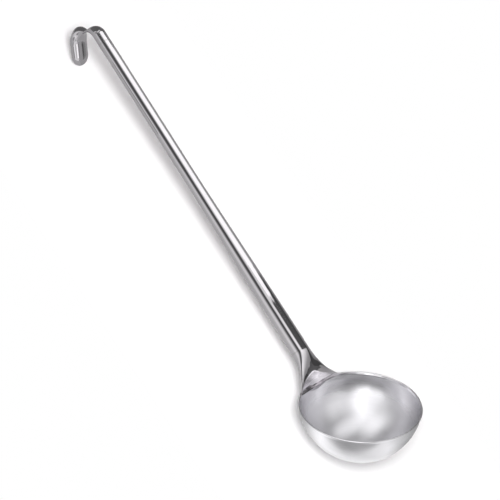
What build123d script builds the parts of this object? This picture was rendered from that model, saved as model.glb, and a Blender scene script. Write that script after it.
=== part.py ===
from build123d import *
import math
import os

# Soup ladle in polished stainless steel. Sizes are in millimetres, angles in degrees.
# The pieces are worked out in the bowl's own frame, whose origin is the centre of the rim,
# with Z out of the bowl's mouth and X towards the handle. They are then laid down together
# in the pose in which the ladle rests on a table, on its bowl and on the tip of its hook.

# Bowl
rim_diameter = 100.0
bowl_depth_share = 0.445
bowl_wall = 1.2
lip_height = 2.0
lip_flare = 0.8

# Handle, measured along its centre line from the point where that line crosses the rim's plane
handle_lean = 49.0
handle_inset = 9.0
neck_reach = 33.0
tube_length = 310.0
taper_length = 182.0
neck_end_diameter = 15.2
tube_diameter = 11.4
handle_wall = 1.2
seam_width = 1.0

# Neck, which opens from the tube's end to the bowl's rim
neck_spread = 30.0
neck_rise_share = 0.212
neck_bend_share = 0.424
neck_toe_depth = 6.0
neck_spread_power = 2.3

# Ring welds and the sleeves behind them
weld_width = 1.2
sleeve_wall = 1.0
sleeve_lap = 6.0
sleeve_clearance = 0.15

# Hook, bent to the back of the handle, pressed thin and narrow in the middle of the bend
hook_root_length = 8.4
hook_bore_depth = 7.0
bend_radius = 12.4
bend_turn = 136.0
pressed_width = 5.5
pressed_thickness = 2.2
leg_length = 20.3
leg_width = 16.8
leg_thickness = 9.8

# Shares of the hook's bend, of its leg's width and of its thickness
pressed_place_share = 0.47
widening_span_share = 0.42
filling_span_share = 0.25
tip_length_share = 0.55
tip_round_shares = (0, 0.3, 0.55, 0.75, 0.88, 0.96, 0.99)
tip_thickness_share = 0.2
stretch_end_shares = (0, pressed_place_share / 2, pressed_place_share, (1 + pressed_place_share) / 2, 1)
stretch_section_shares = [step / 3 for step in range(0, 4)]

# Shares of the neck's way from the rim to the tube
neck_step_shares = (0.0, 0.2, 0.4, 0.6, 0.8, 1.0)
hollow_step_shares = (0.3, 0.5, 0.7, 1.0)
section_steps = 3

# Places that follow from the sizes above
rim_radius = rim_diameter / 2
rim_bore = rim_radius - bowl_wall
bowl_depth = rim_diameter * bowl_depth_share
lip_foot_radius = rim_radius - lip_flare
cap_height = bowl_depth - lip_height
bowl_radius = (lip_foot_radius ** 2 + cap_height ** 2) / (2 * cap_height)
bowl_centre_height = bowl_radius - bowl_depth
lean = math.radians(handle_lean)
spread = math.radians(neck_spread)
turn = math.radians(bend_turn)
neck_end_radius = neck_end_diameter / 2
tube_radius = tube_diameter / 2
tube_start = neck_reach + weld_width
tube_end = tube_start + tube_length
hook_start = tube_end + weld_width
bend_start = hook_start + hook_root_length
tip_length = leg_width * tip_length_share
lip_end_radius = rim_radius - bowl_wall / 2
lip_end_width = lip_end_radius * math.sin(spread)
side_room = rim_radius


class Flat:
    """A point or a direction in the mirror plane of the ladle."""

    def __init__(self, x, z):
        self.x = x
        self.z = z

    def __add__(self, other):
        return Flat(self.x + other.x, self.z + other.z)

    def __sub__(self, other):
        return Flat(self.x - other.x, self.z - other.z)

    def __mul__(self, factor):
        return Flat(self.x * factor, self.z * factor)

    def length(self):
        return math.hypot(self.x, self.z)

    def at(self, side):
        return Vector(self.x, side, self.z)


along = Flat(math.sin(lean), math.cos(lean))
back = Flat(math.cos(lean), -math.sin(lean))
handle_foot = Flat(rim_radius - handle_inset, 0)


# The handle's own frame, with its centre line along Z and its back along X
handle_place = Plane(
    origin=handle_foot.at(0),
    x_dir=back.at(0),
    z_dir=along.at(0),
).location


def on_handle(station, towards_back=0):
    return handle_foot + along * station + back * towards_back


def blend(start, end, share):
    return start + (end - start) * share


def ease(share):
    share = min(max(share, 0), 1)
    return share * share * (3 - 2 * share)


def crossing(start_a, end_a, start_b, end_b):
    """The share along line a at which line b crosses it, and the share along b."""
    a = end_a - start_a
    b = end_b - start_b
    gap = start_b - start_a
    area = a.x * b.z - a.z * b.x
    return (gap.x * b.z - gap.z * b.x) / area, (gap.x * a.z - gap.z * a.x) / area


def bezier(points, share):
    while len(points) > 1:
        points = [blend(a, b, share) for a, b in zip(points, points[1:])]
    return points[0]


# Bowl

def bowl_arc(radius):
    """The round part of the bowl's wall, from its bottom up to the foot of the lip."""
    end = math.asin(lip_foot_radius / bowl_radius)
    centre = Flat(0, bowl_centre_height)
    places = [centre + Flat(math.sin(end * share), -math.cos(end * share)) * radius for share in (0, 0.5, 1)]
    return ThreePointArc(*[place.at(0) for place in places])


def turned(edges):
    return revolve(make_face(edges), Axis.Z)


def bowl():
    outside = bowl_arc(bowl_radius)
    inside = bowl_arc(bowl_radius - bowl_wall)
    outer_edge = Vector(rim_radius, 0, 0)
    inner_edge = Vector(rim_bore, 0, 0)
    return turned([
        outside,
        Line(outside @ 1, outer_edge),
        Line(outer_edge, inner_edge),
        Line(inner_edge, inside @ 1),
        inside,
        Line(inside @ 0, outside @ 0),
    ])


def bowl_filled():
    """The space that the bowl takes up, with its hollow filled to the rim."""
    outside = bowl_arc(bowl_radius)
    outer_edge = Vector(rim_radius, 0, 0)
    middle = Vector(0, 0, 0)
    return turned([
        outside,
        Line(outside @ 1, outer_edge),
        Line(outer_edge, middle),
        Line(middle, outside @ 0),
    ])


# Neck

neck_top = on_handle(neck_reach)
neck_top_front = on_handle(neck_reach, -neck_end_radius)
neck_top_back = on_handle(neck_reach, neck_end_radius)
front_line = [
    Flat(rim_bore, 0),
    Flat(rim_bore, neck_reach * neck_rise_share),
    neck_top_front - along * (neck_reach * neck_bend_share),
    neck_top_front,
]
back_foot = neck_top_back - along * (neck_top_back.z / along.z)
lip_foot = Flat(lip_end_radius * math.cos(spread), 0)


def neck_section(share, inset, drop=0):
    """A closed section of the neck: a front curve and a back curve that meet at its two side lips."""
    front = bezier(front_line, share)
    rear = blend(back_foot, neck_top_back, share)
    depth = (rear - front).length()
    towards_front = (front - rear) * (1 / depth)
    lip_share, height_share = crossing(front, rear, lip_foot, neck_top)
    origin = blend(front, rear, lip_share) - along * (drop / along.z)
    front_bulge = lip_share * depth
    back_bulge = depth - front_bulge
    opening = max(1 - height_share, 0) ** neck_spread_power
    half_width = neck_end_radius + (lip_end_width - neck_end_radius) * opening
    power = 2 - share
    widest = math.acos((2 * inset / depth) ** (1 / power))
    front_points = []
    rear_points = []
    for step in range(-section_steps, section_steps + 1):
        angle = widest * step / section_steps
        side = (half_width - inset) * math.sin(angle) / math.sin(widest)
        fullness = max(math.cos(angle), 0) ** power
        front_points.append((origin + towards_front * (front_bulge * fullness - inset)).at(side))
        rear_points.append((origin - towards_front * (back_bulge * fullness - inset)).at(side))
    rear_points[0] = front_points[0]
    rear_points[-1] = front_points[-1]
    return Wire([Spline(*front_points), Spline(*reversed(rear_points))])


def neck_body():
    """The hollow neck, cut off where it stands on the rim and where it lies on the bowl's outside."""
    toe = neck_section(0, 0, neck_toe_depth)
    skin = Solid.make_loft([toe] + [neck_section(share, 0) for share in neck_step_shares])
    hollow = Solid.make_loft([neck_section(share, handle_wall) for share in hollow_step_shares])
    seat_length = 2 * sleeve_lap
    seat = handle_place * (Pos(0, 0, neck_reach) * Cylinder(neck_end_radius - handle_wall, seat_length))
    return skin - bowl_filled() - hollow - seat


def front_of_neck():
    """The space in front of the line along which the neck's two shells meet."""
    split = neck_top - Flat(rim_radius, 0)
    corners = [
        Flat(rim_radius, 0),
        neck_top + split,
        neck_top + split - back * side_room,
        Flat(0, 0),
    ]
    outline = Face(Wire.make_polygon([corner.at(-side_room) for corner in corners]))
    return Solid.extrude(outline, Vector(0, 2 * side_room, 0))


def neck_shells():
    """The front and the back of the neck, which meet edge to edge along its sides."""
    whole = neck_body()
    return whole & front_of_neck(), whole - front_of_neck()


# Handle tube, worked out in the handle's own frame

def ring(inner_radius, outer_radius, start, end):
    wall = Line((inner_radius, 0, start), (outer_radius, 0, start))
    outside = Line(wall @ 1, (outer_radius, 0, end))
    top = Line(outside @ 1, (inner_radius, 0, end))
    inside = Line(top @ 1, wall @ 0)
    return turned([wall, outside, top, inside])


def tube_side(inset):
    """The tube's side: tapered from the neck up, then straight to the hook."""
    low = neck_end_radius - inset
    high = tube_radius - inset
    third = taper_length / 3
    taper_end = tube_start + taper_length
    taper = Bezier(
        (low, 0, tube_start),
        (low, 0, tube_start + third),
        (high, 0, taper_end - third),
        (high, 0, taper_end),
    )
    return [taper, Line(taper @ 1, (high, 0, tube_end))]


def whole_tube():
    outside = tube_side(0)
    inside = tube_side(handle_wall)
    foot = Line(inside[0] @ 0, outside[0] @ 0)
    head = Line(outside[1] @ 1, inside[1] @ 1)
    return turned([foot] + outside + [head] + inside)


def seam_room():
    """The narrow gap along the tube's back, where the rolled sheet's edges meet."""
    length = tube_end - tube_start
    block = Box(neck_end_radius, seam_width, length)
    inner_face = (tube_radius - handle_wall) / 2
    return Pos(inner_face + neck_end_radius / 2, 0, tube_start + length / 2) * block


def handle_tube():
    return handle_place * (whole_tube() - seam_room())


def handle_seam_weld():
    return handle_place * (whole_tube() & seam_room())


def sleeve(bore_radius, middle):
    """A short sleeve inside two pieces that are welded end to end."""
    outer_radius = bore_radius - sleeve_clearance
    reach = sleeve_lap + weld_width / 2
    return handle_place * ring(outer_radius - sleeve_wall, outer_radius, middle - reach, middle + reach)


def ring_weld(outer_radius, start):
    """A weld through the wall, down to the sleeve behind it."""
    inner_radius = outer_radius - handle_wall - sleeve_clearance
    return handle_place * ring(inner_radius, outer_radius, start, start + weld_width)


def neck_sleeve():
    return sleeve(neck_end_radius - handle_wall, neck_reach + weld_width / 2)


def neck_weld():
    return ring_weld(neck_end_radius, neck_reach)


def hook_sleeve():
    return sleeve(tube_radius - handle_wall, tube_end + weld_width / 2)


def hook_weld():
    return ring_weld(tube_radius, tube_end)


# Hook

def hook_section(centre, forward, width, thickness):
    """An oval section across the hook, as wide as its leaf and as thick as its metal."""
    place = Plane(origin=centre.at(0), x_dir=Vector(0, 1, 0), z_dir=forward.at(0))
    return Wire([Edge.make_ellipse(width / 2, thickness / 2, place)])


def bend_size(share):
    """Width and thickness of the hook at a share of its bend."""
    if share < pressed_place_share:
        pressing = ease(share / pressed_place_share)
        width = tube_diameter + (pressed_width - tube_diameter) * pressing
        thickness = tube_diameter + (pressed_thickness - tube_diameter) * pressing
    else:
        widening = ease((share - pressed_place_share) / widening_span_share)
        filling = ease((share - pressed_place_share) / filling_span_share)
        width = pressed_width + (leg_width - pressed_width) * widening
        thickness = pressed_thickness + (leg_thickness - pressed_thickness) * filling
    return width, thickness


def bend_centre():
    return on_handle(bend_start, tube_radius + bend_radius)


def bend_direction(angle):
    return along * math.cos(angle) + back * math.sin(angle)


def bend_place(angle, thickness):
    outward = back * -math.cos(angle) + along * math.sin(angle)
    return bend_centre() + outward * (bend_radius + thickness / 2)


def leg_place(distance):
    return bend_place(turn, leg_thickness) + bend_direction(turn) * distance


def bend_section(share):
    width, thickness = bend_size(share)
    angle = turn * share
    return hook_section(bend_place(angle, thickness), bend_direction(angle), width, thickness)


def leg_section(distance, narrowing=1, thinning=1):
    return hook_section(leg_place(distance), bend_direction(turn), leg_width * narrowing, leg_thickness * thinning)


def bend_stretch(start_share, end_share):
    """A short stretch of the bend, shaped through evenly spaced sections."""
    shares = [blend(start_share, end_share, step) for step in stretch_section_shares]
    return Solid.make_loft([bend_section(share) for share in shares])


def hook_tip():
    """The rounded end of the leg."""
    sections = []
    for share in tip_round_shares:
        narrowing = math.sqrt(1 - share * share)
        place = leg_length - tip_length + tip_length * share
        sections.append(leg_section(place, narrowing, max(narrowing, tip_thickness_share)))
    return Solid.make_loft(sections)


def hanging_hook():
    root_end = hook_section(on_handle(hook_start), along, tube_diameter, tube_diameter)
    root = Solid.make_loft([root_end, bend_section(0)], ruled=True)
    bend = [bend_stretch(start, end) for start, end in zip(stretch_end_shares, stretch_end_shares[1:])]
    leg = Solid.make_loft([bend_section(1), leg_section(leg_length - tip_length)], ruled=True)
    bore_radius = tube_radius - handle_wall
    bore = handle_place * (Pos(0, 0, hook_start + hook_bore_depth / 2) * Cylinder(bore_radius, hook_bore_depth))
    return root.fuse(*bend, leg, hook_tip()) - bore


# Resting pose: the bowl's round side and the tip of the hook touch the table together

def lowest(place, radius_along, radius_across, direction, tilt):
    """Height of the lowest point of an oval, once the ladle is tipped forward by an angle."""
    middle = place.z * math.cos(tilt) - place.x * math.sin(tilt)
    slope = direction.z * math.cos(tilt) - direction.x * math.sin(tilt)
    return middle - math.hypot(radius_along * slope, radius_across * math.sqrt(1 - slope * slope))


def rest_tilt():
    upright = Flat(0, 1)
    low = 0
    high = math.pi / 2
    for _ in range(60):
        tilt = (low + high) / 2
        bowl_low = lowest(Flat(0, bowl_centre_height), bowl_radius, bowl_radius, upright, tilt)
        tip_low = lowest(leg_place(leg_length - tip_length), tip_length, leg_thickness / 2, bend_direction(turn), tilt)
        if tip_low > bowl_low:
            low = tilt
        else:
            high = tilt
    return math.degrees(tilt)


neck_front_shell, neck_back_shell = neck_shells()
pieces = {
    "bowl": bowl(),
    "neck_front_shell": neck_front_shell,
    "neck_back_shell": neck_back_shell,
    "neck_sleeve": neck_sleeve(),
    "neck_weld": neck_weld(),
    "handle_tube": handle_tube(),
    "handle_seam_weld": handle_seam_weld(),
    "hook_sleeve": hook_sleeve(),
    "hook_weld": hook_weld(),
    "hanging_hook": hanging_hook(),
}
tipped = {name: Rot(0, rest_tilt(), 0) * piece for name, piece in pieces.items()}
boxes = [piece.bounding_box() for piece in tipped.values()]
x_middle = (min(box.min.X for box in boxes) + max(box.max.X for box in boxes)) / 2
z_low = min(box.min.Z for box in boxes)

os.makedirs("parts", exist_ok=True)
for name, piece in tipped.items():
    export_step(Pos(-x_middle, 0, -z_low) * piece, f"parts/{name}.step")
print("tilt", round(rest_tilt(), 3), "shift", round(-x_middle, 3), round(-z_low, 3))
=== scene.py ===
import math

import bmesh
import bpy
import numpy as np
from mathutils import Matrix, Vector


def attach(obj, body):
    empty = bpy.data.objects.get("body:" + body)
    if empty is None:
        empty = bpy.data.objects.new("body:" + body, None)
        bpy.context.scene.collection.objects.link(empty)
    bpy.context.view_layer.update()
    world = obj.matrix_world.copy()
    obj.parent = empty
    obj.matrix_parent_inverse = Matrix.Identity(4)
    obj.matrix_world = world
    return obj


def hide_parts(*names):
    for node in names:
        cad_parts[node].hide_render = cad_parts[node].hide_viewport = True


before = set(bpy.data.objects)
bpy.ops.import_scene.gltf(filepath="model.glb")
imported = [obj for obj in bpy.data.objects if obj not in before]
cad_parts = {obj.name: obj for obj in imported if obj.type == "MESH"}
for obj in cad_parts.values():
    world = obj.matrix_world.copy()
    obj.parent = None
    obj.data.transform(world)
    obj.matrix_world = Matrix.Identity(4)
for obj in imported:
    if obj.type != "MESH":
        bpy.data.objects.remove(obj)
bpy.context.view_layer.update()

# Soup ladle in polished stainless steel. The shapes are worked out in millimetres in the bowl's
# own frame (origin at the centre of the rim, Z out of the mouth, X towards the handle), then
# laid down in metres in the pose in which the ladle rests on the table. Sizes of the ladle are in
# millimetres, and places in the studio are in metres.

MM = 0.001
TILT = math.radians(37.015)
SHIFT = np.array([-181.243, 0, 45.554])

# Bowl. Near the handle the lip gives way to a wall that flows into the neck.
RIM_RADIUS = 50.0
WALL = 1.2
BOWL_RADIUS = 49.7
BOWL_DEPTH = 44.5
LIP_HEIGHT = 2.0
LIP_FLARE = 0.57
LIP_POWER = 1.4
FLOW_DEPTH = 6.0
FLOW_HALF = math.radians(24)
FLOW_FADE = math.radians(16)

# Handle
LEAN = math.radians(49.0)
HANDLE_AIM = 41.0
NECK_REACH = 33.0
TUBE_START = 34.2
TAPER_LENGTH = 182.0
TUBE_END = 344.2
HOOK_START = 345.4
NECK_END_RADIUS = 7.6
TUBE_RADIUS = 5.7
SEAM_WIDTH = 1.0

# Neck, front: the sheet leaves the rim's circle along its own line and closes round the tube.
# Below the rim it goes on as a thin skirt in the bowl's wall, a hair proud of the wall's surface.
LIP_AZIMUTH = math.radians(27.8)
LIP_ANGLE = math.radians(86.0)
LIP_RUN = 23.1
FRONT_RUN = 7.5
TOP_RUN = 28.8
LIP_TURN = math.radians(80.6)
LIP_TURN_POWER = 2.4
LIP_ANGLE_POWER = 0.89
WALL_LEAN = math.radians(6.0)
SKIRT_DEPTH = 4.4
SKIRT_END_DEPTH = 1.0
SKIRT_POWER = 1.5
SKIRT_PROUD = 0.03
SKIRT_THICKNESS = 0.5

# Neck, back: it starts on the bowl's outside with a toe that reaches down from the rim. It sinks a
# little into the wall there, and laps under the front sheet, so that no gap shows.
BACK_TOE = 7.0
BACK_SINK = 0.15
BACK_RUN = 9.0
BACK_OVERLAP = math.radians(6)
BACK_INSET = 0.02

# Hook
BEND_START = 353.8
BEND_RADIUS = 12.36
BEND_TURN = math.radians(136.0)
PRESSED_WIDTH = 5.5
PRESSED_THICKNESS = 2.2
PRESSED_SHARE = 0.47
WIDENING_SPAN_SHARE = 0.42
FILLING_SPAN_SHARE = 0.25
LEG_LENGTH = 20.3
LEG_WIDTH = 16.8
LEG_THICKNESS = 9.8
TIP_SHARE = 0.55
TIP_THINNEST_SHARE = 0.08

# How finely the pieces are meshed
BOWL_TURNS = 288
WALL_POINTS = 96
RIM_STEPS = 10
AXIS_GAP = 0.012
ACROSS_POINTS = 97
EVEN_SHARE = 0.65
SKIRT_ROWS = 13
FRONT_ROWS = 81
PROUD_FADE_ROWS = 8
BACK_ROWS = 65
EDGE_STEPS = 6
AROUND_POINTS = 97
SEAM_POINTS = 9
TUBE_ROWS = 160
WELD_ROWS = 5
ROOT_ROWS = 8
BEND_ROWS = 120
LEG_ROWS = 16
TIP_ROWS = 32
SHARP_ANGLE = math.radians(40)

# Colours of the steels, each with the deeper tone of its marks
POLISHED_TONE = (0.670, 0.650, 0.674)
POLISHED_DEEP_TONE = (0.640, 0.621, 0.646)
SATIN_TONE = (0.655, 0.649, 0.670)
SATIN_DEEP_TONE = (0.627, 0.621, 0.642)
WELD_TONE = (0.640, 0.622, 0.636)
WELD_DEEP_TONE = (0.590, 0.570, 0.580)
SLEEVE_TONE = (0.520, 0.512, 0.520)
SLEEVE_DEEP_TONE = (0.400, 0.388, 0.392)

# Roughness, from the smoothest to the roughest places of each surface
POLISHED_ROUGHNESS = (0.045, 0.085)
POLISHED_LINES = (-0.012, 0.014)
WELD_ROUGHNESS = (0.07, 0.16)
SLEEVE_ROUGHNESS = (0.34, 0.56)
SATIN_ROUGHNESS = (0.30, 0.42)
SATIN_MARKS = (-0.02, 0.03)
WALL_ROUGHNESS = (0.2, 0.28)
OUTSIDE_ROUGHNESS = (0.16, 0.24)
LIP_ROUGHNESS = 0.1

# Bump, as depth in metres and strength. Waves are the slight unevenness of worked sheet, and the
# polishing lines on them have this share of their height.
WAVES_PER_METRE = 75.0
LINE_HEIGHT_SHARE = 0.012
POLISHED_BUMP = (0.00012, 0.6)
WELD_BUMP = (0.00002, 0.4)
SLEEVE_BUMP = (0.00004, 0.7)
RING_BUMP = (0.00001, 0.35)

# Ranges of the noise that the finishes use, and how much the smears take from a patch
WHOLE = (0.0, 1.0)
LINE_RANGE = (0.3, 0.7)
RING_RANGE = (0.25, 0.75)
PATCH_RANGE = (0.38, 0.66)
SMEAR_RANGE = (0.55, 1.0)

# The bowl's turned rings, and how much rings and marks deepen its colour
RINGS_PER_RADIAN = 110.0
RING_BREAKS = 0.8
RING_TONE_SHARE = 0.6
MARK_TONE_SHARE = 0.4

# The bowl's zones: the outside begins between two distances from the round's centre, and the
# polished lip and the smoother upper wall end between two depths below the rim
OUTSIDE_FROM = 48.9
OUTSIDE_TO = 49.3
LIP_BAND = (1.54, 2.2)
WALL_BAND = (13.0, 20.0)

# Light, in metres. Past the reach of the soft shadow, sideways and lengthwise from the middle, the
# table is plain white.
KEY_STRENGTH = 36.0
KEY_PLACE = (-0.2594, 0.5990, 1.0166)
KEY_RADIUS = 0.25
BOWL_LAMP_AIM = Vector((-0.18, 0, 0.04))
SOFT_LIGHT_TONE = (1, 0.95, 0.98, 1)
SOFT_LIGHT_STRENGTH = 0.35
SHADOW_REACH = (0.09, 0.13)
SHADOW_END = (0.29, 0.33)
TABLE_HALF = 4.0
TABLE_DROP = 0.0002

# Camera: place in metres, turn in degrees, lens and sensor in millimetres
LENS = 100.8
SENSOR = 36
CAMERA_PLACE = (-0.260655, 0.730125, 0.905032)
CAMERA_TURN = (33.78754, -26.08311, -128.82052)

# Directions and places in the bowl's frame. The handle runs along ALONG from FOOT, and its back
# looks towards BACK.
UP = np.array([0.0, 0.0, 1.0])
SIDE = np.array([0.0, 1.0, 0.0])
LEVEL = np.array([1.0, 1.0, 0.0])
ALONG = np.array([math.sin(LEAN), 0.0, math.cos(LEAN)])
BACK = np.array([math.cos(LEAN), 0.0, -math.sin(LEAN)])
FOOT = np.array([HANDLE_AIM, 0.0, 0.0])
CENTRE_HEIGHT = BOWL_RADIUS - BOWL_DEPTH
TUBE_STATIONS = np.linspace(TUBE_START, TUBE_END, TUBE_ROWS)


def laid_down(points):
    """Points of the bowl's frame, in millimetres, in the row's frame, in metres."""
    c, s = math.cos(TILT), math.sin(TILT)
    turn = np.array([[c, 0, s], [0, 1, 0], [-s, 0, c]])
    return (np.asarray(points) @ turn.T + SHIFT) * MM


def ease(share):
    """A smooth step from 0 to 1."""
    share = np.clip(share, 0, 1)
    return share * share * (3 - 2 * share)


def between(start, end, share):
    return start + (end - start) * share


def unit(vectors):
    return vectors / np.maximum(np.linalg.norm(vectors, axis=-1, keepdims=True), 1e-9)


def fan(start, width, tip, turned):
    """Faces that close a loop of points with a point in its middle."""
    faces = []
    for step in range(width):
        a = start + step
        b = start + (step + 1) % width
        faces.append((b, a, tip) if turned else (a, b, tip))
    return faces


def skin(name, rows, ring=False):
    """A smooth mesh through rows of points, each a closed loop. A ring joins its last row to its
    first, and any other mesh is closed at both ends."""
    rows = np.asarray(rows)
    count, width = rows.shape[:2]
    verts = [tuple(point) for point in laid_down(rows.reshape(-1, 3))]
    faces = []
    for row in range(count if ring else count - 1):
        a = row * width
        b = (row + 1) % count * width
        for step in range(width):
            after = (step + 1) % width
            faces.append((a + step, a + after, b + after, b + step))
    if not ring:
        for row in (0, count - 1):
            faces += fan(row * width, width, len(verts), turned=row == 0)
            verts.append(tuple(laid_down(rows[row].mean(axis=0))))
    mesh = bpy.data.meshes.new(name)
    mesh.from_pydata(verts, [], faces)
    mesh.validate()
    mesh.update()
    piece = bpy.data.objects.new(name, mesh)
    bpy.context.collection.objects.link(piece)
    for polygon in mesh.polygons:
        polygon.use_smooth = True
    return outward(piece)


def outward(piece):
    """Turns the faces so that they all look out of the metal."""
    work = bmesh.new()
    work.from_mesh(piece.data)
    bmesh.ops.recalc_face_normals(work, faces=work.faces)
    if work.calc_volume(signed=True) < 0:
        bmesh.ops.reverse_faces(work, faces=work.faces)
    work.to_mesh(piece.data)
    work.free()
    piece.data.set_sharp_from_angle(angle=SHARP_ANGLE)
    return piece


# Bowl

def lip_shape(height, azimuth):
    """How far the wall stands out from the round of the bowl near the rim."""
    away = ease((abs(azimuth) - FLOW_HALF) / FLOW_FADE)
    flow = ease((height + FLOW_DEPTH) / FLOW_DEPTH)
    lip = np.clip((height + LIP_HEIGHT) / LIP_HEIGHT, 0, 1) ** LIP_POWER
    return LIP_FLARE * ((1 - away) * flow + away * lip)


def wall_radius(height, azimuth, inset):
    """Distance from the bowl's axis to its wall, at a depth inset into the metal."""
    reach = (BOWL_RADIUS - inset) ** 2 - (height - CENTRE_HEIGHT) ** 2
    return np.sqrt(np.maximum(reach, 0)) + lip_shape(height, azimuth)


def wall_side(radius, azimuth, shares):
    """One side of the bowl's wall, from beside the axis at share 0 to the rim at share 1."""
    rim_angle = math.acos((CENTRE_HEIGHT + WALL / 2) / radius)
    points = []
    for angle in between(AXIS_GAP, rim_angle, shares):
        height = CENTRE_HEIGHT - radius * math.cos(angle)
        points.append((radius * math.sin(angle) + lip_shape(height, azimuth), height))
    return points


def bowl_profile(azimuth):
    """The section of the bowl's wall: up the inside, over the rounded rim, down the outside."""
    shares = np.linspace(0, 1, WALL_POINTS)
    inner = wall_side(BOWL_RADIUS - WALL, azimuth, shares)
    outer = wall_side(BOWL_RADIUS, azimuth, shares[::-1])
    middle = (inner[-1][0] + outer[0][0]) / 2
    half = (outer[0][0] - inner[-1][0]) / 2
    rim = []
    for step in range(1, RIM_STEPS):
        angle = math.pi * step / RIM_STEPS
        rim.append((middle - half * math.cos(angle), WALL / 2 * (math.sin(angle) - 1)))
    return np.array(inner + rim + outer)


def bowl():
    columns = []
    for step in range(BOWL_TURNS):
        azimuth = 2 * math.pi * step / BOWL_TURNS
        out, height = bowl_profile(math.remainder(azimuth, 2 * math.pi)).T
        columns.append(np.stack([out * math.cos(azimuth), out * math.sin(azimuth), height], axis=1))
    return skin("spun_bowl", np.array(columns).transpose(1, 0, 2))


# Neck

def hermite(start, start_run, end, end_run, share):
    """A smooth path that leaves the start along one run and reaches the end along the other."""
    a = 2 * share ** 3 - 3 * share ** 2 + 1
    b = share ** 3 - 2 * share ** 2 + share
    c = 3 * share ** 2 - 2 * share ** 3
    d = share ** 3 - share ** 2
    return a * start + b * start_run + c * end + d * end_run


def around_tube(angle, radius, station):
    """A point round the handle: angle 0 is its front, and a right angle is its +Y side."""
    return FOOT + station * ALONG + radius * (-BACK * np.cos(angle) + SIDE * np.sin(angle))


def rim_frame(azimuth):
    """Directions at a place on the rim: out from the bowl's axis, and round the rim."""
    outward_dir = np.concatenate([np.cos(azimuth), np.sin(azimuth), 0 * azimuth], axis=-1)
    round_dir = np.concatenate([-np.sin(azimuth), np.cos(azimuth), 0 * azimuth], axis=-1)
    return outward_dir, round_dir


def edge_run(side, run_middle):
    """Direction and length in which the sheet leaves the rim: up in the middle, round at the lips."""
    outward_dir, round_dir = rim_frame(LIP_AZIMUTH * side)
    rise = UP * math.cos(WALL_LEAN) + outward_dir * math.sin(WALL_LEAN)
    weight = np.abs(side) ** LIP_TURN_POWER
    turn = LIP_TURN * weight
    run = between(run_middle, LIP_RUN, weight)
    return run * (rise * np.cos(turn) - np.sign(side) * round_dir * np.sin(turn))


def front_sheet(side, share):
    """The middle of the neck's front sheet. side runs from lip to lip, share from rim to tube."""
    outward_dir, _ = rim_frame(LIP_AZIMUTH * side)
    start = outward_dir * (RIM_RADIUS - WALL / 2)
    angle = LIP_ANGLE * np.sign(side) * np.abs(side) ** LIP_ANGLE_POWER
    end = around_tube(angle, NECK_END_RADIUS - WALL / 2, NECK_REACH)
    return hermite(start, edge_run(side, FRONT_RUN), end, TOP_RUN * ALONG, share)


def skirt(side, share):
    """The same sheet below the rim, where it lies in the bowl's wall. share runs from 0 down to -1."""
    outward_dir, _ = rim_frame(LIP_AZIMUTH * side)
    height = share * between(SKIRT_END_DEPTH, SKIRT_DEPTH, (1 - side ** 2) ** SKIRT_POWER)
    return outward_dir * wall_radius(height, 0, WALL / 2) + UP * height


def sheet_normal(sheet, row, towards):
    """Normals of a sheet of points, all on the side on which towards lies at the row's middle."""
    normal = unit(np.cross(np.gradient(sheet, axis=1), np.gradient(sheet, axis=0)))
    return normal * np.sign((normal[row, ACROSS_POINTS // 2] * towards).sum())


def round_edge(front, rear, out):
    """The half-round edge of a sheet, from its front to its rear."""
    centre = (front + rear) / 2
    half = (front - rear) / 2
    bulge = out * np.linalg.norm(half)
    angles = [math.pi * step / EDGE_STEPS for step in range(1, EDGE_STEPS)]
    return [centre + half * math.cos(angle) + bulge * math.sin(angle) for angle in angles]


def edged_row(front, rear, middle):
    """A loop round a sheet: along its front, round one edge, back along its rear, round the other."""
    last = round_edge(front[-1], rear[-1], unit(middle[-1] - middle[-2]))
    first = round_edge(front[0], rear[0], unit(middle[0] - middle[1]))
    return list(front) + last + list(rear[::-1]) + first[::-1]


def neck_front():
    even = np.linspace(-1, 1, ACROSS_POINTS)
    side = between(np.sin(even * math.pi / 2), even, EVEN_SHARE)[None, :, None]
    down = np.linspace(-1, 0, SKIRT_ROWS)[:, None, None]
    up = np.linspace(0, 1, FRONT_ROWS)[1:, None, None]
    sheet = np.concatenate([skirt(side, down), front_sheet(side, up)], axis=0)
    inside_row = SKIRT_ROWS // 2
    towards_bowl = -sheet[inside_row, ACROSS_POINTS // 2] * LEVEL
    normals = sheet_normal(sheet, inside_row, towards_bowl)
    rows = []
    for index, (middle, normal) in enumerate(zip(sheet, normals)):
        proud = SKIRT_PROUD * (1 - ease((index - SKIRT_ROWS) / PROUD_FADE_ROWS))
        rear_height = WALL / 2 - SKIRT_THICKNESS if index < SKIRT_ROWS else -WALL / 2
        front = middle + normal * (WALL / 2 + proud)
        rows.append(edged_row(front, middle + normal * rear_height, middle))
    return skin("neck_front", rows)


def neck_back():
    side = np.linspace(-1, 1, ACROSS_POINTS)[None, :, None]
    share = np.linspace(0, 1, BACK_ROWS)[:, None, None]
    outward_dir, _ = rim_frame(LIP_AZIMUTH * side)
    height = -BACK_TOE * np.cos(side * math.pi / 2) ** 2
    start = outward_dir * (wall_radius(height, 0, 0) - BACK_SINK) + UP * height
    angle = math.pi - (math.pi - LIP_ANGLE + BACK_OVERLAP) * side
    end = around_tube(angle, NECK_END_RADIUS - BACK_INSET, NECK_REACH)
    outer = hermite(start, edge_run(side, BACK_RUN), end, TOP_RUN * ALONG, share)
    middle_row = BACK_ROWS // 2
    inside = FOOT + NECK_REACH / 2 * ALONG
    away = outer[middle_row, ACROSS_POINTS // 2] - inside
    inner = outer - WALL * sheet_normal(outer, middle_row, away)
    return skin("neck_back", [list(out) + list(rear[::-1]) for out, rear in zip(outer, inner)])


# Handle tube and welds

def tube_radius_at(station):
    return between(NECK_END_RADIUS, TUBE_RADIUS, ease((station - TUBE_START) / TAPER_LENGTH))


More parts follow.
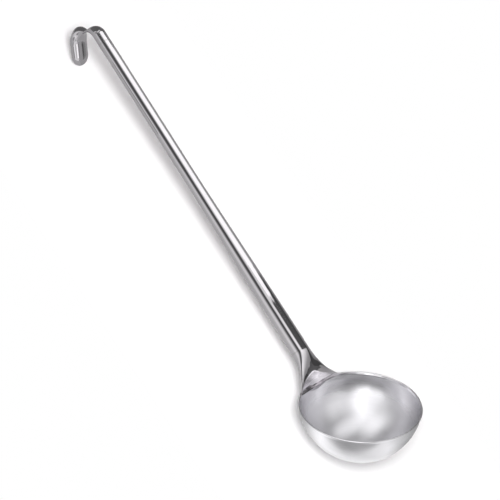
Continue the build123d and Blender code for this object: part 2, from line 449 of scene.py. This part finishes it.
def wall_section(station, start, end, points):
    """A closed strip of the tube's wall, from one angle round the tube to another."""
    radius = tube_radius_at(station)
    angles = np.linspace(start, end, points)[:, None]
    outer = around_tube(angles, radius, station)
    inner = around_tube(angles[::-1], radius - WALL, station)
    return np.concatenate([outer, inner])


def seam_half(station):
    """Half the seam's width, as an angle round the tube."""
    return math.asin(SEAM_WIDTH / 2 / tube_radius_at(station))


def handle_tube():
    rows = []
    for station in TUBE_STATIONS:
        edge = math.pi - seam_half(station)
        rows.append(wall_section(station, -edge, edge, AROUND_POINTS))
    return skin("rolled_tube", rows)


def seam_weld():
    rows = []
    for station in TUBE_STATIONS:
        half = seam_half(station)
        rows.append(wall_section(station, math.pi - half, math.pi + half, SEAM_POINTS))
    return skin("seam_weld", rows)


def ring_weld(name, start, end, radius):
    angles = np.linspace(0, 2 * math.pi, AROUND_POINTS)[:-1, None]
    stations = np.linspace(start, end, WELD_ROWS)
    outer = [around_tube(angles, radius, station) for station in stations]
    inner = [around_tube(angles, radius - WALL, station) for station in stations[::-1]]
    return skin(name, outer + inner, ring=True)


# Hook

def oval(centre, forward, width, thickness):
    up = np.cross(forward, SIDE)
    angles = np.linspace(0, 2 * math.pi, AROUND_POINTS)[:-1, None]
    return centre + SIDE * (width / 2) * np.cos(angles) + up * (thickness / 2) * np.sin(angles)


def bend_size(share):
    """Width and thickness of the hook at a share of its bend."""
    if share < PRESSED_SHARE:
        pressing = ease(share / PRESSED_SHARE)
        width = between(2 * TUBE_RADIUS, PRESSED_WIDTH, pressing)
        return width, between(2 * TUBE_RADIUS, PRESSED_THICKNESS, pressing)
    widening = ease((share - PRESSED_SHARE) / WIDENING_SPAN_SHARE)
    filling = ease((share - PRESSED_SHARE) / FILLING_SPAN_SHARE)
    width = between(PRESSED_WIDTH, LEG_WIDTH, widening)
    return width, between(PRESSED_THICKNESS, LEG_THICKNESS, filling)


def bend_directions(angle):
    """Directions at a place on the bend: away from its centre, and forward along the hook."""
    away = -BACK * math.cos(angle) + ALONG * math.sin(angle)
    forward = ALONG * math.cos(angle) + BACK * math.sin(angle)
    return away, forward


def hook_leg(bend_centre):
    """Sections of the straight leg after the bend, and of its rounded tip."""
    away, forward = bend_directions(BEND_TURN)
    start = bend_centre + away * (BEND_RADIUS + LEG_THICKNESS / 2)
    tip = LEG_WIDTH * TIP_SHARE
    straight = LEG_LENGTH - tip
    sections = []
    for distance in np.linspace(0, straight, LEG_ROWS)[1:]:
        sections.append(oval(start + forward * distance, forward, LEG_WIDTH, LEG_THICKNESS))
    for angle in np.linspace(0, math.pi / 2, TIP_ROWS)[1:-1]:
        narrow = math.cos(angle)
        place = start + forward * (straight + tip * math.sin(angle))
        thickness = LEG_THICKNESS * max(narrow, TIP_THINNEST_SHARE)
        sections.append(oval(place, forward, LEG_WIDTH * narrow, thickness))
    return sections


def hook():
    centre = FOOT + BEND_START * ALONG + (TUBE_RADIUS + BEND_RADIUS) * BACK
    sections = []
    for station in np.linspace(HOOK_START, BEND_START, ROOT_ROWS)[:-1]:
        sections.append(oval(FOOT + station * ALONG, ALONG, 2 * TUBE_RADIUS, 2 * TUBE_RADIUS))
    for share in np.linspace(0, 1, BEND_ROWS):
        width, thickness = bend_size(share)
        away, forward = bend_directions(BEND_TURN * share)
        place = centre + away * (BEND_RADIUS + thickness / 2)
        sections.append(oval(place, forward, width, thickness))
    return skin("bent_hook", sections + hook_leg(centre))


# Materials

def group(name, inputs, output):
    """A node group with named values going in and one value coming out."""
    tree = bpy.data.node_groups.new(name, "ShaderNodeTree")
    for label, kind in inputs:
        tree.interface.new_socket(label, in_out="INPUT", socket_type=kind)
    tree.interface.new_socket(output, in_out="OUTPUT", socket_type="NodeSocketFloat")
    return tree, tree.nodes.new("NodeGroupInput"), tree.nodes.new("NodeGroupOutput")


def feed(tree, socket, value):
    """Sets a socket to a plain value, or links it to another node's output."""
    if isinstance(value, (int, float, tuple)):
        socket.default_value = value
    else:
        tree.links.new(value, socket)


def vector_math(tree, operation, first, second=(0, 0, 0)):
    made = tree.nodes.new("ShaderNodeVectorMath")
    made.operation = operation
    feed(tree, made.inputs[0], first)
    feed(tree, made.inputs[1], second)
    return made.outputs["Value"] if operation in ("LENGTH", "DISTANCE") else made.outputs["Vector"]


def number_math(tree, operation, first, second=0.0):
    made = tree.nodes.new("ShaderNodeMath")
    made.operation = operation
    feed(tree, made.inputs[0], first)
    feed(tree, made.inputs[1], second)
    return made.outputs[0]


def spread(tree, value, source, target):
    """The value's source range spread over the target range, and held at its ends outside."""
    made = tree.nodes.new("ShaderNodeMapRange")
    feed(tree, made.inputs["Value"], value)
    feed(tree, made.inputs["From Min"], source[0])
    feed(tree, made.inputs["From Max"], source[1])
    feed(tree, made.inputs["To Min"], target[0])
    feed(tree, made.inputs["To Max"], target[1])
    return made.outputs["Result"]


def clouds(tree, vector, scale, detail):
    made = tree.nodes.new("ShaderNodeTexNoise")
    made.inputs["Scale"].default_value = scale
    made.inputs["Detail"].default_value = detail
    tree.links.new(vector, made.inputs["Vector"])
    return made.outputs["Fac"]


def join_vector(tree, x, y, z):
    made = tree.nodes.new("ShaderNodeCombineXYZ")
    for socket, value in zip(made.inputs, (x, y, z)):
        feed(tree, socket, value)
    return made.outputs["Vector"]


def split_vector(tree, vector):
    made = tree.nodes.new("ShaderNodeSeparateXYZ")
    tree.links.new(vector, made.inputs["Vector"])
    return made.outputs


def straight_lines_group():
    """Fine polishing or rolling lines: many to the metre across, few along the last axis."""
    inputs = [("Place", "NodeSocketVector"),
              ("Lines across", "NodeSocketFloat"),
              ("Lines along", "NodeSocketFloat")]
    tree, start, end = group("straight_lines", inputs, "Lines")
    across = start.outputs["Lines across"]
    counts = join_vector(tree, across, across, start.outputs["Lines along"])
    stretched = vector_math(tree, "MULTIPLY", start.outputs["Place"], counts)
    tree.links.new(clouds(tree, stretched, scale=1.0, detail=3.0), end.inputs["Lines"])
    return tree


def handling_group():
    """Soft patches left by wiping and handling, with a few fine smears inside them."""
    inputs = [("Place", "NodeSocketVector"), ("Patches", "NodeSocketFloat")]
    tree, start, end = group("handling_marks", inputs, "Marks")
    counts = join_vector(tree, *[start.outputs["Patches"]] * 3)
    spot = vector_math(tree, "MULTIPLY", start.outputs["Place"], counts)
    broad = spread(tree, clouds(tree, spot, scale=1.0, detail=1.0), PATCH_RANGE, WHOLE)
    fine = spread(tree, clouds(tree, spot, scale=7.0, detail=4.0), LINE_RANGE, SMEAR_RANGE)
    tree.links.new(number_math(tree, "MULTIPLY", broad, fine), end.inputs["Marks"])
    return tree


STRAIGHT_LINES = straight_lines_group()
HANDLING_MARKS = handling_group()


def use_group(tree, made_group, place, **values):
    made = tree.nodes.new("ShaderNodeGroup")
    made.node_tree = made_group
    tree.links.new(place, made.inputs["Place"])
    for label, value in values.items():
        made.inputs[label.replace("_", " ")].default_value = value
    return made.outputs[0]


def local_place(tree, origin, turn):
    """Places on the piece, in metres, in a frame with its own origin, turned about the side axis."""
    coordinates = tree.nodes.new("ShaderNodeTexCoord")
    made = tree.nodes.new("ShaderNodeMapping")
    made.vector_type = "TEXTURE"
    made.inputs["Location"].default_value = tuple(origin)
    made.inputs["Rotation"].default_value = (0, turn, 0)
    tree.links.new(coordinates.outputs["Object"], made.inputs["Vector"])
    return made.outputs["Vector"]


def handle_place(tree):
    return local_place(tree, laid_down(FOOT), TILT + LEAN)


def blend_tones(tree, factor, light_tone, dark_tone):
    """The colours sit on the mix node's sockets 6 and 7, after those for numbers and vectors."""
    made = tree.nodes.new("ShaderNodeMix")
    made.data_type = "RGBA"
    made.inputs[6].default_value = (*light_tone, 1)
    made.inputs[7].default_value = (*dark_tone, 1)
    tree.links.new(factor, made.inputs["Factor"])
    return made.outputs[2]


def bump(tree, height, size):
    depth, strength = size
    made = tree.nodes.new("ShaderNodeBump")
    made.inputs["Distance"].default_value = depth
    made.inputs["Strength"].default_value = strength
    tree.links.new(height, made.inputs["Height"])
    return made.outputs["Normal"]


def metal(name):
    material = bpy.data.materials.new(name)
    material.use_nodes = True
    shader = material.node_tree.nodes["Principled BSDF"]
    shader.inputs["Metallic"].default_value = 1
    return material, material.node_tree, shader


def polished_steel():
    """Mirror-polished sheet: lines along the handle, wiping marks and the waves of worked metal."""
    material, tree, shader = metal("mirror_polished_steel")
    place = handle_place(tree)
    lines = use_group(tree, STRAIGHT_LINES, place, Lines_across=2600.0, Lines_along=14.0)
    marks = use_group(tree, HANDLING_MARKS, place, Patches=38.0)
    tone = blend_tones(tree, marks, POLISHED_TONE, POLISHED_DEEP_TONE)
    smooth = spread(tree, marks, WHOLE, POLISHED_ROUGHNESS)
    lined = spread(tree, lines, LINE_RANGE, POLISHED_LINES)
    waves = clouds(tree, place, WAVES_PER_METRE, detail=1.0)
    height = number_math(tree, "ADD", number_math(tree, "MULTIPLY", lines, LINE_HEIGHT_SHARE), waves)
    tree.links.new(tone, shader.inputs["Base Color"])
    tree.links.new(number_math(tree, "ADD", smooth, lined), shader.inputs["Roughness"])
    tree.links.new(bump(tree, height, POLISHED_BUMP), shader.inputs["Normal"])
    return material


def weld_steel():
    """Welds ground flush and polished over: a little duller, with a fine ripple across the bead."""
    material, tree, shader = metal("ground_weld_steel")
    place = handle_place(tree)
    lines = use_group(tree, STRAIGHT_LINES, place, Lines_across=500.0, Lines_along=1400.0)
    marks = use_group(tree, HANDLING_MARKS, place, Patches=120.0)
    tone = blend_tones(tree, marks, WELD_TONE, WELD_DEEP_TONE)
    tree.links.new(tone, shader.inputs["Base Color"])
    tree.links.new(spread(tree, lines, LINE_RANGE, WELD_ROUGHNESS), shader.inputs["Roughness"])
    tree.links.new(bump(tree, lines, WELD_BUMP), shader.inputs["Normal"])
    return material


def sleeve_steel():
    """Plain drawn tube as it comes from the mill: dull, with drawing lines and dark patches."""
    material, tree, shader = metal("mill_finish_steel")
    place = handle_place(tree)
    lines = use_group(tree, STRAIGHT_LINES, place, Lines_across=1800.0, Lines_along=40.0)
    marks = use_group(tree, HANDLING_MARKS, place, Patches=160.0)
    tone = blend_tones(tree, marks, SLEEVE_TONE, SLEEVE_DEEP_TONE)
    tree.links.new(tone, shader.inputs["Base Color"])
    tree.links.new(spread(tree, lines, LINE_RANGE, SLEEVE_ROUGHNESS), shader.inputs["Roughness"])
    tree.links.new(bump(tree, lines, SLEEVE_BUMP), shader.inputs["Normal"])
    return material


def turned_rings(tree, place, height):
    """Rings of brushing round the bowl's axis, even along its wall and broken in places."""
    flat = vector_math(tree, "MULTIPLY", place, (1, 1, 0))
    away = vector_math(tree, "LENGTH", flat)
    round_dir = vector_math(tree, "NORMALIZE", flat)
    below = number_math(tree, "SUBTRACT", CENTRE_HEIGHT * MM, height)
    wall_angle = number_math(tree, "ARCTAN2", away, below)
    rise = number_math(tree, "MULTIPLY", wall_angle, RINGS_PER_RADIAN)
    breaks = vector_math(tree, "MULTIPLY", round_dir, (RING_BREAKS, RING_BREAKS, 0))
    spot = vector_math(tree, "ADD", breaks, join_vector(tree, 0, 0, rise))
    return clouds(tree, spot, scale=1.0, detail=4.0)


def depth_band(tree, height, band):
    """1 above the band and 0 below it. The band is two depths below the rim, in millimetres."""
    upper, lower = band
    return spread(tree, height, (-lower * MM, -upper * MM), WHOLE)


def bowl_steel():
    """Satin inside with rings of brushing, a smoother upper wall, a polished lip and outside."""
    material, tree, shader = metal("satin_bowl_steel")
    place = local_place(tree, SHIFT * MM, TILT)
    height = split_vector(tree, place)["Z"]
    rings = turned_rings(tree, place, height)
    marks = use_group(tree, HANDLING_MARKS, place, Patches=32.0)
    from_centre = vector_math(tree, "DISTANCE", place, (0, 0, CENTRE_HEIGHT * MM))
    outside = spread(tree, from_centre, (OUTSIDE_FROM * MM, OUTSIDE_TO * MM), WHOLE)
    satin = spread(tree, rings, RING_RANGE, SATIN_ROUGHNESS)
    upper = spread(tree, rings, RING_RANGE, WALL_ROUGHNESS)
    satin = spread(tree, depth_band(tree, height, WALL_BAND), WHOLE, (satin, upper))
    satin = number_math(tree, "ADD", satin, spread(tree, marks, WHOLE, SATIN_MARKS))
    smooth = spread(tree, rings, RING_RANGE, OUTSIDE_ROUGHNESS)
    roughness = spread(tree, outside, WHOLE, (satin, smooth))
    roughness = spread(tree, depth_band(tree, height, LIP_BAND), WHOLE, (roughness, LIP_ROUGHNESS))
    ringed = spread(tree, rings, LINE_RANGE, (0.0, RING_TONE_SHARE))
    marked = spread(tree, marks, WHOLE, (0.0, MARK_TONE_SHARE))
    deeper = number_math(tree, "ADD", ringed, marked)
    tone = blend_tones(tree, deeper, SATIN_TONE, SATIN_DEEP_TONE)
    tree.links.new(tone, shader.inputs["Base Color"])
    tree.links.new(roughness, shader.inputs["Roughness"])
    tree.links.new(bump(tree, rings, RING_BUMP), shader.inputs["Normal"])
    return material


POLISHED = polished_steel()
SATIN = bowl_steel()
WELD = weld_steel()
MILL = sleeve_steel()


def finish_piece(piece, material, node):
    piece.data.materials.clear()
    piece.data.materials.append(material)
    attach(piece, "root")
    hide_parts(node)


bowl_piece = bowl()
finish_piece(bowl_piece, SATIN, "bowl")
finish_piece(neck_front(), POLISHED, "neck_front_shell")
finish_piece(neck_back(), POLISHED, "neck_back_shell")
finish_piece(handle_tube(), POLISHED, "handle_tube")
finish_piece(seam_weld(), WELD, "handle_seam_weld")
finish_piece(ring_weld("neck_ring_weld", NECK_REACH, TUBE_START, NECK_END_RADIUS),
             WELD, "neck_weld")
finish_piece(ring_weld("hook_ring_weld", TUBE_END, HOOK_START, TUBE_RADIUS),
             WELD, "hook_weld")
finish_piece(hook(), POLISHED, "hanging_hook")
for sleeve in ("neck_sleeve", "hook_sleeve"):
    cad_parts[sleeve].data.materials.clear()
    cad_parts[sleeve].data.materials.append(MILL)


# Studio cards: only reflections see them. A level of 1 is as bright as a white background. The
# light ones are the soft boxes that the metal mirrors, and the dark ones draw its dark lines.

def card_material():
    """Glows as brightly as the mesh says, corner by corner, in its attribute "glow"."""
    material = bpy.data.materials.new("studio_card")
    material.use_nodes = True
    tree = material.node_tree
    tree.nodes.clear()
    glow = tree.nodes.new("ShaderNodeAttribute")
    glow.attribute_name = "glow"
    light = tree.nodes.new("ShaderNodeEmission")
    out = tree.nodes.new("ShaderNodeOutputMaterial")
    tree.links.new(glow.outputs["Fac"], light.inputs["Strength"])
    tree.links.new(light.outputs[0], out.inputs["Surface"])
    return material


CARD = card_material()


def card(name, corners, levels, faces=None):
    """A card with a level at each corner."""
    mesh = bpy.data.meshes.new(name)
    mesh.from_pydata(corners, [], faces or [tuple(range(len(corners)))])
    mesh.materials.append(CARD)
    glow = mesh.attributes.new("glow", "FLOAT", "POINT")
    for index, level in enumerate(levels):
        glow.data[index].value = level
    piece = bpy.data.objects.new(name, mesh)
    bpy.context.collection.objects.link(piece)
    piece.visible_camera = False
    piece.visible_diffuse = False
    piece.visible_shadow = False
    piece.visible_transmission = False


def overhead(name, outline, levels, height=1.0):
    """A card overhead, with one level for all of it or one for each corner."""
    if not isinstance(levels, list):
        levels = [levels] * len(outline)
    card(name, [(x, y, height) for x, y in outline], levels)


def wall(name, start, end, bands):
    """Upright cards between two places on the table. bands are (height, level) pairs from below."""
    (ax, ay), (bx, by) = start, end
    for index, ((low, low_level), (high, high_level)) in enumerate(zip(bands, bands[1:])):
        corners = [(ax, ay, low), (bx, by, low), (bx, by, high), (ax, ay, high)]
        card(f"{name}_{index}", corners, [low_level, low_level, high_level, high_level])


def shaded_card(name, xs, ys, levels, height=0.0):
    """A level card with shading on it: one row of levels for each y, one level for each x."""
    corners = [(x, y, height) for y in ys for x in xs]
    wide = len(xs)
    faces = []
    for row in range(len(ys) - 1):
        for column in range(wide - 1):
            first = row * wide + column
            faces.append((first, first + 1, first + 1 + wide, first + wide))
    card(name, corners, [level for row in levels for level in row], faces)


# On the table, glowing cards that stand in for it in reflections: darker behind the handle, with the
# ladle's own shadow painted on them as painted shade and a painted pool of light beside the bowl,
# lighter in front
shaded_card("table_by_handle", [-0.15, 0.18, 0.7], [-1.2, -0.002, 0.0, 0.04, 0.1, 1.2],
            [[0.5, 0.5, 0.3],
             [0.45, 0.42, 0.25],
             [0.56, 0.5, 0.25],
             [0.62, 0.5, 0.25],
             [0.95, 0.6, 0.3],
             [0.95, 0.7, 0.4]])
shaded_card("table_by_bowl", [-1.2, -0.4, -0.3, -0.26, -0.23, -0.19, -0.15],
            [-1.2, -0.12, -0.06, -0.02, 0.03, 0.05, 0.068, 0.1, 1.2],
            [[0.6, 0.6, 0.6, 0.6, 0.6, 0.6, 0.4],
             [0.8, 0.8, 0.5, 0.4, 0.4, 0.4, 0.4],
             [1.0, 1.1, 0.8, 0.5, 0.4, 0.4, 0.4],
             [1.2, 1.3, 1.3, 1.1, 1.1, 0.5, 0.4],
             [1.1, 1.2, 1.1, 1.0, 1.15, 1.0, 0.4],
             [0.8, 0.8, 0.8, 0.8, 0.9, 1.5, 0.5],
             [0.6, 0.6, 0.6, 0.5, 0.6, 1.6, 0.9],
             [0.5, 0.5, 0.5, 0.45, 0.5, 1.0, 0.9],
             [0.8, 0.8, 0.8, 0.8, 0.8, 0.9, 0.8]])

# Overhead: the soft box that draws the handle's white stripe, and the box over the bowl
overhead("overhead_dark", [(-1.5, -1.5), (1.5, -1.5), (1.5, 1.5), (-1.5, 1.5)], 0.1, 1.05)
overhead("overhead_box",
         [(0.1, -0.85), (0.57, -0.85), (0.52, 0.2), (0.0, 0.2), (0.0, -0.35), (0.035, -0.65)], 1.5)
overhead("overhead_rear", [(0.16, -1.2), (0.6, -1.2), (0.57, -0.85), (0.1, -0.85)],
         [0.8, 0.8, 1.5, 1.5])
shaded_card("overhead_front", [0.08, 0.12, 0.2, 0.28, 0.52], [0.2, 0.31, 0.53, 0.68, 0.81, 1.0],
            [[1.5, 1.5, 1.5, 1.5, 1.5],
             [1.3, 1.3, 1.1, 0.85, 0.85],
             [0.65, 0.75, 0.65, 0.28, 0.28],
             [0.45, 0.4, 0.3, 0.12, 0.12],
             [0.25, 0.15, 0.08, 0.08, 0.08],
             [0.06, 0.06, 0.06, 0.06, 0.06]], 1.0)
shaded_card("overhead_left", [-1.2, -0.85, -0.5, -0.3, -0.18, -0.14],
            [-1.2, -0.5, 0.0, 0.4, 0.6, 1.2],
            [[0.3, 0.3, 0.4, 0.4, 0.3, 0.1],
             [0.4, 0.4, 0.6, 0.8, 0.6, 0.1],
             [0.4, 0.5, 0.9, 1.1, 1.0, 0.1],
             [0.4, 0.5, 1.0, 1.2, 1.3, 1.5],
             [0.5, 0.55, 1.0, 1.2, 1.3, 1.5],
             [0.8, 0.8, 0.9, 0.8, 0.3, 0.1]], 1.0)
overhead("overhead_line", [(-0.14, 0.2), (0.08, 0.2), (0.08, 0.36), (-0.14, 0.36)], 0.8)
overhead("overhead_middle", [(-0.14, 0.36), (0.08, 0.36), (0.08, 0.6), (-0.14, 0.6)],
         [1.35, 1.1, 0.85, 1.35])
overhead("overhead_middle_front", [(-0.14, 0.6), (0.08, 0.6), (0.08, 1.0), (-0.14, 1.0)],
         [1.35, 0.85, 0.1, 0.1])
overhead("overhead_end", [(0.62, -0.3), (1.2, -0.3), (1.2, 1.0), (0.62, 1.0)],
         [0.6, 0.8, 1.1, 1.0])

# Round the table
wall("rear_left", (-1.2, -1.2), (0.12, -1.2), [(0, 0.3), (0.4, 0.25), (0.5, 0.08), (1.05, 0.06)])
wall("rear_right", (0.12, -1.2), (0.62, -1.2), [(0, 0.36), (0.55, 0.3), (1.0, 0.8)])
wall("rear_end", (0.62, -1.2), (1.2, -1.2), [(0, 0.15), (1.05, 0.15)])
wall("front_left", (-1.2, 1.2), (-0.45, 1.2), [(0, 1.2), (1.0, 1.2)])
wall("front_right", (-0.45, 1.2), (0.75, 1.2),
     [(0, 0.95), (0.2, 0.75), (0.42, 0.34), (0.65, 0.12), (1.05, 0.08)])
wall("front_end", (0.75, 1.2), (1.2, 1.2), [(0, 0.4), (1.05, 0.2)])
wall("hook_end_rear", (1.2, -1.2), (1.2, -0.1), [(0, 0.3), (0.4, 0.3), (0.7, 0.7), (1.05, 0.7)])
wall("hook_end_front", (1.2, -0.1), (1.2, 1.2), [(0, 0.8), (0.4, 1.0), (1.05, 1.3)])
wall("hook_side_card", (0.13, 0.1), (0.21, 0.1), [(0, 0.35), (0.03, 0.35)])
wall("hook_card", (0.32, -0.12), (0.32, 0.12), [(0, 0.15), (0.19, 0.12)])
wall("bowl_end_front", (-1.2, 0), (-1.2, 1.2), [(0, 1.0), (1.0, 0.5)])
wall("bowl_end_stripe", (-1.19, 0.12), (-1.19, 0.46), [(0.5, 1.5), (0.8, 1.5)])
wall("bowl_end_rear", (-1.2, -0.9), (-1.2, 0), [(0, 0.4), (0.5, 0.4), (1.0, 0.4)])
wall("bowl_end_dark", (-1.2, -1.2), (-1.2, -0.9), [(0, 0.2), (1.05, 0.1)])


# Table, lamps, world and camera

def seen_rays(tree):
    """1 for the rays that show the background: to the camera, off metal and through glass."""
    path = tree.nodes.new("ShaderNodeLightPath")
    seen = number_math(tree, "ADD", path.outputs["Is Camera Ray"], path.outputs["Is Glossy Ray"])
    return number_math(tree, "ADD", seen, path.outputs["Is Transmission Ray"])


def choose_shader(tree, choice, usual, chosen, end):
    """Sends the chosen shader to the end node where choice is 1, and the usual one elsewhere."""
    mixed = tree.nodes.new("ShaderNodeMixShader")
    tree.links.new(choice, mixed.inputs["Fac"])
    tree.links.new(usual.outputs[0], mixed.inputs[1])
    tree.links.new(chosen.outputs[0], mixed.inputs[2])
    tree.links.new(mixed.outputs[0], tree.nodes[end].inputs["Surface"])


def table_material():
    """White, and past the reach of the soft shadow a plain white that light doesn't change."""
    material = bpy.data.materials.new("white_table")
    material.use_nodes = True
    tree = material.node_tree
    shader = tree.nodes["Principled BSDF"]
    shader.inputs["Base Color"].default_value = (1, 1, 1, 1)
    shader.inputs["Roughness"].default_value = 1
    shader.inputs["Specular IOR Level"].default_value = 0
    coordinates = tree.nodes.new("ShaderNodeTexCoord")
    parts = split_vector(tree, coordinates.outputs["Object"])
    sideways = number_math(tree, "ABSOLUTE", parts["Y"])
    lengthwise = number_math(tree, "ABSOLUTE", parts["X"])
    beyond_side = spread(tree, sideways, SHADOW_REACH, WHOLE)
    beyond_end = spread(tree, lengthwise, SHADOW_END, WHOLE)
    beyond = number_math(tree, "MAXIMUM", beyond_side, beyond_end)
    plain = number_math(tree, "MULTIPLY", beyond, seen_rays(tree))
    white = tree.nodes.new("ShaderNodeEmission")
    choose_shader(tree, plain, shader, white, "Material Output")
    return material


def table():
    mesh = bpy.data.meshes.new("floor")
    half = TABLE_HALF
    mesh.from_pydata([(-half, -half, 0), (half, -half, 0), (half, half, 0), (-half, half, 0)],
                     [], [(0, 1, 2, 3)])
    mesh.materials.append(table_material())
    piece = bpy.data.objects.new("floor", mesh)
    bpy.context.collection.objects.link(piece)
    piece.location.z = -TABLE_DROP


def key_lamp():
    """A soft round lamp beside the camera, evenly bright at every distance."""
    light = bpy.data.lights.new("key", "POINT")
    light.shadow_soft_size = KEY_RADIUS
    light.energy = 1.0
    light.use_nodes = True
    tree = light.node_tree
    falloff = tree.nodes.new("ShaderNodeLightFalloff")
    falloff.inputs["Strength"].default_value = KEY_STRENGTH
    tree.links.new(falloff.outputs["Constant"], tree.nodes["Emission"].inputs["Strength"])
    piece = bpy.data.objects.new("key", light)
    bpy.context.collection.objects.link(piece)
    piece.location = KEY_PLACE
    piece.visible_glossy = False


def bowl_lamp(name, receivers, azimuth, elevation, width, height, power):
    """A soft box one metre from the bowl, which alone it lights. The angles are in degrees."""
    light = bpy.data.lights.new(name, "AREA")
    light.shape = "ELLIPSE"
    light.size = width
    light.size_y = height
    light.energy = power
    piece = bpy.data.objects.new(name, light)
    bpy.context.collection.objects.link(piece)
    turn, rise = math.radians(azimuth), math.radians(elevation)
    level = math.cos(rise)
    away = Vector((level * math.cos(turn), level * math.sin(turn), math.sin(rise)))
    piece.location = BOWL_LAMP_AIM + away
    piece.rotation_euler = away.to_track_quat("Z", "Y").to_euler()
    piece.light_linking.receiver_collection = receivers
    piece.visible_camera = False


def studio_world():
    """Soft light all round for dull surfaces, and white as the background."""
    world = bpy.data.worlds.new("studio")
    bpy.context.scene.world = world
    world.use_nodes = True
    tree = world.node_tree
    soft_light = tree.nodes["Background"]
    soft_light.inputs["Color"].default_value = SOFT_LIGHT_TONE
    soft_light.inputs["Strength"].default_value = SOFT_LIGHT_STRENGTH
    white = tree.nodes.new("ShaderNodeBackground")
    white.inputs["Color"].default_value = (1, 1, 1, 1)
    white.inputs["Strength"].default_value = 1.0
    choose_shader(tree, seen_rays(tree), soft_light, white, "World Output")


def camera():
    lens = bpy.data.cameras.new("camera")
    lens.sensor_width = SENSOR
    lens.lens = LENS
    piece = bpy.data.objects.new("camera", lens)
    bpy.context.collection.objects.link(piece)
    piece.location = CAMERA_PLACE
    piece.rotation_euler = [math.radians(angle) for angle in CAMERA_TURN]
    bpy.context.scene.camera = piece


table()
key_lamp()
bowl_only = bpy.data.collections.new("bowl_only")
bowl_only.objects.link(bowl_piece)
bowl_lamp("bowl_box", bowl_only, azimuth=84, elevation=52, width=1.2, height=1.0, power=2.2)
bowl_lamp("wide_bowl_box", bowl_only, azimuth=58, elevation=44, width=1.9, height=1.5, power=4.4)
bowl_lamp("low_bowl_box", bowl_only, azimuth=94, elevation=17, width=1.0, height=0.45, power=1.0)
bowl_lamp("top_bowl_box", bowl_only, azimuth=200, elevation=74, width=1.1, height=1.0, power=1.7)
studio_world()
camera()
bpy.context.scene.view_settings.view_transform = "Standard"
